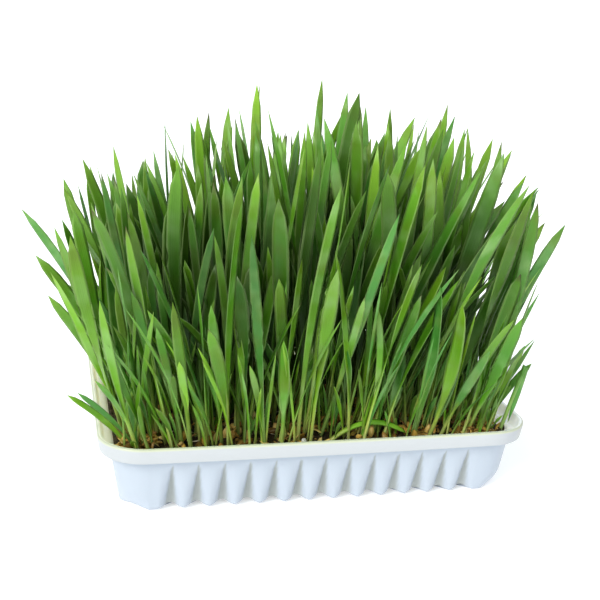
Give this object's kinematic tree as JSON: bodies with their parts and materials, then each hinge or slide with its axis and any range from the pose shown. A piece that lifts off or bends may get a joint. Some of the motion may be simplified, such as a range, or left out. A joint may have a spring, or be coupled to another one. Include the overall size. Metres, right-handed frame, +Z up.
{
  "type": "wheatgrass tray",
  "caption": "Dense upright wheatgrass blades growing from a sod of roots and seed on soil, in a white fluted plastic tray with a rounded collar rim.",
  "frame": {"origin": "centre of the tray's flat underside, which stands on the surface", "axes": "+Z up out of the tray, +X along the tray's long side, -Y towards the front long side"},
  "size_m": [0.2409, 0.1689, 0.172],
  "materials": {
    "white_plastic": "semi-gloss thermoformed white plastic, slightly translucent",
    "moist_soil": "moist dark growing medium",
    "wheatgrass": "fresh green leaf, satin, thin and translucent"
  },
  "bodies": {
    "root": {"tray": "white_plastic", "soil": "moist_soil", "grass": "wheatgrass"}
  },
  "joints": []
}
